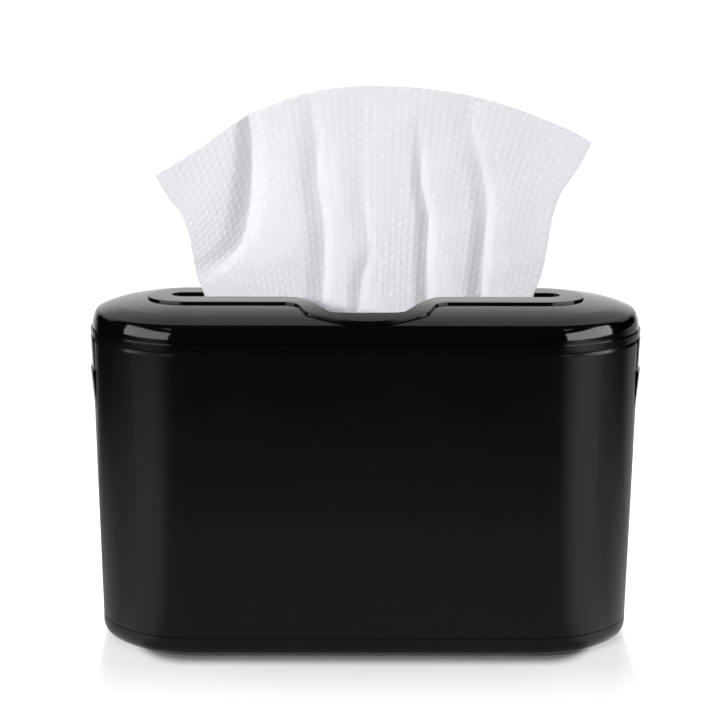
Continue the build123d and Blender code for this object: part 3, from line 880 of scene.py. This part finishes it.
@dataclass
class LiftSpring(SubAssembly):
    """One of the coil springs that lift the platen, with its end turns closed."""

    finish: Metal = Metal("spring_wire", (0.42, 0.42, 0.43), 0.22)
    node: str = "lift_spring_right"
    wire: float = 0.0011
    turns: float = 8.0
    closed_turns: float = 0.9
    # The closed turns' share of the rise
    closed_rise: float = 0.045
    squashed: float = 0.215
    around: int = 12
    steps_in_turn: int = 40

    def build(self, made: dict[str, bpy.types.Material]) -> None:
        """Makes the spring as one unbroken tube round a coil.

        Args:
            made: The materials made so far.
        """
        low, high = (np.array(corner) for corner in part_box(self.node))
        centre_x = (low[0] + high[0]) / 2
        radius = (high[0] - low[0] - self.wire) / 2
        turn = np.linspace(0.0, self.turns, int(self.turns * self.steps_in_turn) + 1)
        share = turn / self.turns
        # The end turns rise slowly, because they are closed, and the rest evenly
        shut = self.closed_turns / self.turns
        even = (share - shut) / (1.0 - 2.0 * shut)
        closing = (ease(share, 0.0, shut) + ease(share, 1.0 - shut, 1.0)) / 2
        rise = self.closed_rise * closing + (1.0 - self.closed_rise) * np.clip(even, 0.0, 1.0)
        angle = turn * 2.0 * math.pi
        outward = np.stack([np.cos(angle), np.sin(angle), np.zeros_like(angle)], axis=-1)
        place = outward * radius + np.array([centre_x, 0.0, 0.0])
        bottom, top = low[2] + self.wire / 2, high[2] - self.wire / 2
        place[:, 2] = bottom + (top - bottom) * rise
        along = np.gradient(place, axis=0)
        along /= np.linalg.norm(along, axis=-1, keepdims=True)
        side = np.cross(along, outward)
        spin = np.linspace(0.0, 2.0 * math.pi, self.around, endpoint=False)
        ring = outward[:, None] * np.cos(spin)[None, :, None] + side[:, None] * np.sin(spin)[None, :, None]
        points = place[:, None] + ring * self.wire / 2
        faces = grid_faces(len(turn), self.around, wrap=True)[:, ::-1].tolist()
        last = (len(turn) - 1) * self.around
        faces += [list(range(self.around)), list(range(last + self.around - 1, last - 1, -1))]
        piece = new_piece(self.node.replace("lift_spring", "coil_spring"), points.reshape(-1, 3), faces)
        paint(piece, self.finish, made)
        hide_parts(self.node)
        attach(piece, "body")
        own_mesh(piece)
        LOG.info("%s: %s has %.1f turns", self.name, piece.name, self.turns)


# ---- Studio


@dataclass(frozen=True)
class Softbox:
    """A soft rectangular lamp that faces the object.

    Its turn is the way to it, in degrees to the right of straight in front, and its fan is the angle over
    which it throws its light.
    """

    name: str
    turn: float
    height: float
    reach: float
    size: tuple[float, float]
    power: float
    aim: Point = (0.0, 0.0, 0.15)
    in_reflections: bool = True
    on_matt: bool = True
    fan: float = 180.0

    def build(self) -> None:
        """Adds the lamp."""
        lamp = bpy.data.lights.new(self.name, "AREA")
        lamp.shape = "RECTANGLE"
        lamp.size, lamp.size_y = self.size
        lamp.energy = self.power
        lamp.spread = math.radians(self.fan)
        holder = bpy.data.objects.new(self.name, lamp)
        turn = math.radians(self.turn)
        holder.location = (self.reach * math.sin(turn), -self.reach * math.cos(turn), self.height)
        facing = Vector(self.aim) - holder.location
        holder.rotation_euler = facing.to_track_quat("-Z", "Y").to_euler()
        holder.visible_camera = False
        holder.visible_glossy = self.in_reflections
        holder.visible_diffuse = self.on_matt
        bpy.context.scene.collection.objects.link(holder)
        LOG.info("studio: %s, %.0f W", self.name, self.power)


@dataclass(frozen=True)
class StudioFloor:
    """The plain pale floor that the object stands on.

    The camera sees it lit, with the object's shadow, and white further off by a glow that nothing else sees.
    In front of the object, within the width of its ends, the glow is held lower and rises slowly forward: a
    painted shadow and reflection of the body over the lit shadow.
    In mirrors it glows instead, a painted reflection of a lit floor: pale beside and behind the object and
    dark in front.

    A place is known by the way to it from the core of the base's outline and by its reach from the middle.
    """

    half: float = 9.0
    colour: Colour = (0.4, 0.4, 0.4)
    mottled_gain: float = 1.01
    roughness: float = 0.3
    specular: float = 0.1
    # Half the core of the base's outline, how far off it the outline is, and how much more its ends count
    core: Point = (0.092, 0.010, 0.0)
    corner_radius: float = 0.046
    end_factor: float = 2.0
    # The glow: in front against Y and against the distance from the outline, and round the rest. The one in
    # front is held lower, a painted shadow and reflection of the body that fades forward
    front_glow: Ramp = (-0.35, -0.056, 0.9, 0.53)
    clear_glow: Ramp = (-0.003, 0.015, 0.0, 1.0)
    beyond_ends: float = 0.128
    around_glow: Ramp = (0.0, 0.012, 0.0, 0.9)
    # In mirrors, painted light where the lamps would light the floor: each side against the way to it, and the
    # left against its reach
    right_way: Ramp = (0.32, 0.8, 0.0, 0.9)
    left_way: Ramp = (-0.75, -0.35, 0.66, 0.0)
    left_reach: Ramp = (0.4, 0.95, 1.0, 0.4)
    # Both sides against the way back, and against Y and this share of the reach
    side_back: Ramp = (-0.45, 0.1, 1.0, 0.55)
    side_fade: Ramp = (0.08, 0.9, 1.0, 0.05)
    reach_share: float = 0.7
    # Straight behind, close by all round, and behind to the right
    behind_back: Ramp = (0.72, 0.96, 0.0, 1.0)
    behind_reach: Ramp = (0.3, 0.9, 0.36, 1.0)
    close_reach: Ramp = (0.15, 0.8, 0.28, 0.0)
    corner_back: Ramp = (0.25, 0.7, 0.0, 1.0)
    corner_right: Ramp = (0.0, 0.3, 0.0, 0.38)

    def glow(self, graph: Graph, place: Any, off: Any) -> Any:
        """Finds how brightly the floor glows for the camera, held lower in front of the object as painted
        shade.

        Args:
            graph: The floor's graph.
            place: The place's socket.
            off: The socket of what takes the core to it.

        Returns:
            The glow's socket: the larger of the one in front, clear of the outline, and the one around.
        """
        axes = graph.add("ShaderNodeSeparateXYZ", Vector=place).outputs
        counted = graph.vector("MULTIPLY", off, (self.end_factor, 1.0, 0.0)).outputs[0]
        clear = graph.math("SUBTRACT", graph.vector("LENGTH", counted).outputs["Value"], self.corner_radius)
        # Painted shadow and reflection: ahead of the object, within its ends, the glow is lower and rises
        # forward
        front = graph.span(axes["Y"], *self.front_glow)
        ahead = graph.math("MULTIPLY", front, graph.span(clear, *self.clear_glow))
        sideways = graph.math("SUBTRACT", graph.math("ABSOLUTE", axes["X"]), self.beyond_ends)
        around = graph.span(graph.math("MAXIMUM", sideways, axes["Y"]), *self.around_glow)
        return graph.math("MAXIMUM", ahead, around)

    def mirrored(self, graph: Graph, place: Any, off: Any) -> Any:
        """Finds the painted light that the floor shows in mirrors in place of its lit colour.

        Args:
            graph: The floor's graph.
            place: The place's socket.
            off: The socket of what takes the core to it.

        Returns:
            The brightness's socket: the largest of the parts close by, behind, at a corner and beside.
        """
        back = graph.add("ShaderNodeSeparateXYZ", Vector=place).outputs["Y"]
        reach = graph.vector("LENGTH", place).outputs["Value"]
        way = graph.add("ShaderNodeSeparateXYZ", Vector=graph.vector("NORMALIZE", off).outputs[0]).outputs
        left = graph.span(way["X"], *self.left_way)
        left = graph.math("MULTIPLY", left, graph.span(reach, *self.left_reach))
        sides = graph.math("MAXIMUM", graph.span(way["X"], *self.right_way), left)
        # The sides darken to the back, and outward, the sooner the further behind the object they are
        outward = graph.math("MULTIPLY_ADD", reach, self.reach_share, back)
        turned = graph.span(way["Y"], *self.side_back)
        fade = graph.math("MULTIPLY", graph.span(outward, *self.side_fade), turned)
        sides = graph.math("MULTIPLY", sides, fade)
        far = graph.span(reach, *self.behind_reach)
        behind = graph.math("MULTIPLY", graph.span(way["Y"], *self.behind_back), far)
        close = graph.math("MAXIMUM", graph.span(reach, *self.close_reach), behind)
        rightward = graph.span(way["X"], *self.corner_right)
        corner = graph.math("MULTIPLY", graph.span(way["Y"], *self.corner_back), rightward)
        return graph.math("MAXIMUM", graph.math("MAXIMUM", close, corner), sides)

    def build(self) -> None:
        """Adds the floor with its material."""
        corners = self.half * np.array([(-1, -1, 0), (1, -1, 0), (1, 1, 0), (-1, 1, 0)])
        plane = new_piece("studio_floor", corners, [[0, 1, 2, 3]])
        material, graph = start_material("floor_paper")
        place = graph.add("ShaderNodeTexCoord").outputs["Object"]
        shade = graph.span(graph.noise(place, scale=3.0, detail=2.0), low=0.3, high=0.7)
        colour = graph.tint(shade, self.colour, scaled(self.colour, self.mottled_gain))
        nearest = graph.vector("MAXIMUM", place, tuple(-side for side in self.core)).outputs[0]
        nearest = graph.vector("MINIMUM", nearest, self.core).outputs[0]
        off = graph.vector("SUBTRACT", place, nearest).outputs[0]
        path = graph.add("ShaderNodeLightPath").outputs
        glow = graph.math("MULTIPLY", path["Is Camera Ray"], self.glow(graph, place, off))
        shader = graph.add("ShaderNodeBsdfPrincipled", Base_Color=colour, Emission_Strength=glow)
        shader.inputs["Roughness"].default_value = self.roughness
        shader.inputs["Specular IOR Level"].default_value = self.specular
        shader.inputs["Emission Color"].default_value = rgba(WHITE)
        # Mirrors see the floor as this painted glow, not as its lit colour
        seen = graph.add("ShaderNodeEmission", Strength=self.mirrored(graph, place, off))
        mix = graph.add("ShaderNodeMixShader")
        sources = (path["Is Glossy Ray"], shader.outputs[0], seen.outputs[0])
        for socket, source in zip(mix.inputs, sources):
            graph.feed(socket, source)
        graph.add("ShaderNodeOutputMaterial", Surface=mix.outputs[0])
        plane.data.materials.append(material)


@dataclass(frozen=True)
class Backdrop:
    """The world round the object: white to the camera, and an even soft light to matt surfaces.

    In mirrors it is a lit sheet, brightest straight behind the object and ended overhead, read from how far a
    ray goes to the back. Low down it also ends a little way to either side.
    """

    soft_light: Colour = (0.28, 0.28, 0.28)
    sheet: Ramp = (0.40, 0.52, 0.004, 0.47)
    glare: Ramp = (0.87, 0.985, 0.0, 0.43)
    beside: Ramp = (0.45, 0.6, 1.0, 0.0)
    raised: Ramp = (0.22, 0.32, 0.0, 1.0)

    def build(self) -> None:
        """Makes it the scene's world."""
        world = bpy.data.worlds.new("surround")
        bpy.context.scene.world = world
        world.use_nodes = True
        graph = Graph(world.node_tree)
        ray = graph.add("ShaderNodeTexCoord").outputs["Generated"]
        way = graph.add("ShaderNodeSeparateXYZ", Vector=ray).outputs
        lit = graph.math("ADD", graph.span(way["Y"], *self.sheet), graph.span(way["Y"], *self.glare))
        beside = graph.span(graph.math("ABSOLUTE", way["X"]), *self.beside)
        edge = graph.math("MAXIMUM", beside, graph.span(way["Z"], *self.raised))
        path = graph.add("ShaderNodeLightPath").outputs
        shown = graph.tint(path["Is Glossy Ray"], self.soft_light, graph.math("MULTIPLY", lit, edge))
        shown = graph.tint(path["Is Camera Ray"], shown, WHITE)
        background = graph.add("ShaderNodeBackground", Color=shown, Strength=1.0)
        graph.add("ShaderNodeOutputWorld", Surface=background.outputs[0])


@dataclass(frozen=True)
class Studio:
    """The floor, the backdrop and the lamps.

    Mirrors see a long box at each end, with a narrow strip over it. Matt surfaces are lit by the two keys.
    """

    floor: StudioFloor = StudioFloor()
    backdrop: Backdrop = Backdrop()
    boxes: tuple[Softbox, ...] = (
        Softbox("left_box", turn=-58.0, height=0.54, reach=1.7, size=(2.05, 0.84), power=16.8, on_matt=False),
        Softbox("right_box", turn=62.0, height=0.54, reach=1.7, size=(2.15, 0.84), power=26.0, on_matt=False),
        Softbox("left_strip", turn=-58.0, height=1.5, reach=1.7, size=(2.05, 0.2), power=1.0, on_matt=False),
        Softbox("right_strip", turn=62.0, height=1.5, reach=1.7, size=(2.15, 0.2), power=1.3, on_matt=False),
        Softbox(
            "towel_key", turn=-28.0, height=0.67, reach=1.69, size=(0.9, 0.6), power=4.7,
            aim=(0.0, 0.0, 0.1), in_reflections=False, fan=70.0,
        ),
        Softbox(
            "top_key", turn=180.0, height=2.0, reach=0.35, size=(3.0, 0.7), power=34.0,
            aim=(0.0, 0.35, 0.0), in_reflections=False,
        ),
    )

    def build(self) -> None:
        """Adds everything and sets the plain view."""
        self.floor.build()
        self.backdrop.build()
        for box in self.boxes:
            box.build()
        bpy.context.scene.view_settings.view_transform = "Standard"


@dataclass(frozen=True)
class PhotoCamera:
    """The photograph's camera, fitted to the rim's curve and the body's outline."""

    distance: float = 1.8
    tilt: float = 0.190967
    turn: float = 0.015139
    roll: float = 0.004823
    aim_x: float = -0.002923
    aim_z: float = 0.145136
    focal_pixels: float = 3463.52
    picture: int = 720
    sensor_width: float = 36.0
    farthest: float = 60.0

    def build(self) -> None:
        """Adds the camera and makes it the scene's own."""
        forward = Vector((0.0, math.cos(self.tilt), -math.sin(self.tilt)))
        upward = Vector((0.0, math.sin(self.tilt), math.cos(self.tilt)))
        right = Vector((1.0, 0.0, 0.0))
        place = Vector((self.aim_x, 0.0, self.aim_z)) - forward * self.distance
        across = right * math.cos(self.roll) + upward * math.sin(self.roll)
        above = upward * math.cos(self.roll) - right * math.sin(self.roll)
        turned = Matrix.Rotation(-self.turn, 4, "Z")
        view = Matrix((across, above, -forward)).transposed().to_4x4()
        view.translation = place
        lens = bpy.data.cameras.new("photo_camera")
        lens.sensor_width = self.sensor_width
        lens.lens = self.focal_pixels * self.sensor_width / self.picture
        lens.clip_end = self.farthest
        holder = bpy.data.objects.new("photo_camera", lens)
        holder.matrix_world = turned @ view
        bpy.context.scene.collection.objects.link(holder)
        bpy.context.scene.camera = holder
        LOG.info("camera: lens %.1f mm at %s", lens.lens, tuple(round(c, 3) for c in holder.location))


# ---- The whole dispenser

LID_GLOSS = Moulded(
    "lid_gloss_black", (0.0016, 0.0016, 0.0017), roughness=0.07,
    grain_scale=260.0, grain_depth=0.000003, smudge=0.02, dust=0.03,
)
PANEL_GLOSS = replace(
    LID_GLOSS, name="panel_gloss_black", colour=(0.002, 0.002, 0.0021), roughness=0.12, smudge=0.03,
)
RING_GLOSS = Moulded(
    "ring_black", (0.0018, 0.0018, 0.0019), roughness=0.14, specular=0.45,
    grain_scale=900.0, grain_depth=0.000003, smudge=0.03, dust=0.01,
)
BODY_SATIN = Moulded(
    "body_satin_black", (0.0022, 0.0022, 0.0023), roughness=0.19, specular=0.4,
    grain_scale=3200.0, grain_depth=0.000006, smudge=0.02, dust=0.01,
)
TAB_SATIN = replace(BODY_SATIN, name="tab_satin_black", smudge=0.03)
INNER = Moulded(
    "inner_plastic_black", (0.011, 0.011, 0.0115), roughness=0.48, specular=0.4,
    grain_scale=2200.0, grain_depth=0.00003, smudge=0.08, dust=0.25,
)
ACETAL = Moulded(
    "bush_acetal", (0.72, 0.71, 0.67), roughness=0.34,
    grain_scale=1800.0, grain_depth=0.00001, smudge=0.08,
)
RUBBER = Moulded(
    "foot_rubber", (0.018, 0.018, 0.018), roughness=0.72, specular=0.35,
    grain_scale=1500.0, grain_depth=0.00006, smudge=0.1,
)
PLATED = Metal("screw_plated_steel", (0.56, 0.56, 0.58), roughness=0.26)
GROUND = Metal("pin_ground_steel", (0.6, 0.6, 0.61), roughness=0.16)


def sub_assemblies() -> list[SubAssembly]:
    """Lists the dispenser's sub-assemblies in the order they are built.

    Returns:
        The sub-assemblies.
    """
    ends = ("left", "right")
    lid = {"lid_cover": LID_GLOSS, "slot_panel": PANEL_GLOSS, "rim_ring": RING_GLOSS}
    lid |= {"stack_retainer": INNER, "lid_screws": PLATED}
    lid |= {f"tab_pin_{end}": GROUND for end in ends}
    body = {"body_shell": BODY_SATIN, "base_cap": BODY_SATIN, "base_screws": PLATED}
    body |= {f"foot_{row}_{end}": RUBBER for row in ("front", "rear") for end in ends}
    lift: dict[str, Finish] = {"platen": INNER}
    for end in ends:
        lift |= {f"end_guide_{end}": INNER, f"guide_post_{end}": GROUND}
        lift |= {f"post_cap_{end}": ACETAL, f"platen_bush_{end}": ACETAL}
    return [
        SubAssembly("lid", lid),
        SubAssembly("tabs", {f"release_tab_{end}": TAB_SATIN for end in ends}),
        SubAssembly("body", body),
        SubAssembly("lift", lift),
        TowelStack("stack"),
        PulledTowel("towel"),
        *(LiftSpring("springs", node=f"lift_spring_{end}") for end in ends),
    ]


def main() -> None:
    """Builds the shared effects, the studio, the camera and every sub-assembly."""
    logging.basicConfig(level=logging.INFO, format="%(name)s: %(message)s")
    moulded_surface()
    drawn_metal()
    embossed_dots()
    PhotoCamera().build()
    Studio().build()
    made: dict[str, bpy.types.Material] = {}
    for assembly in sub_assemblies():
        assembly.dress(made)
        assembly.build(made)


if __name__ == "__main__":
    main()
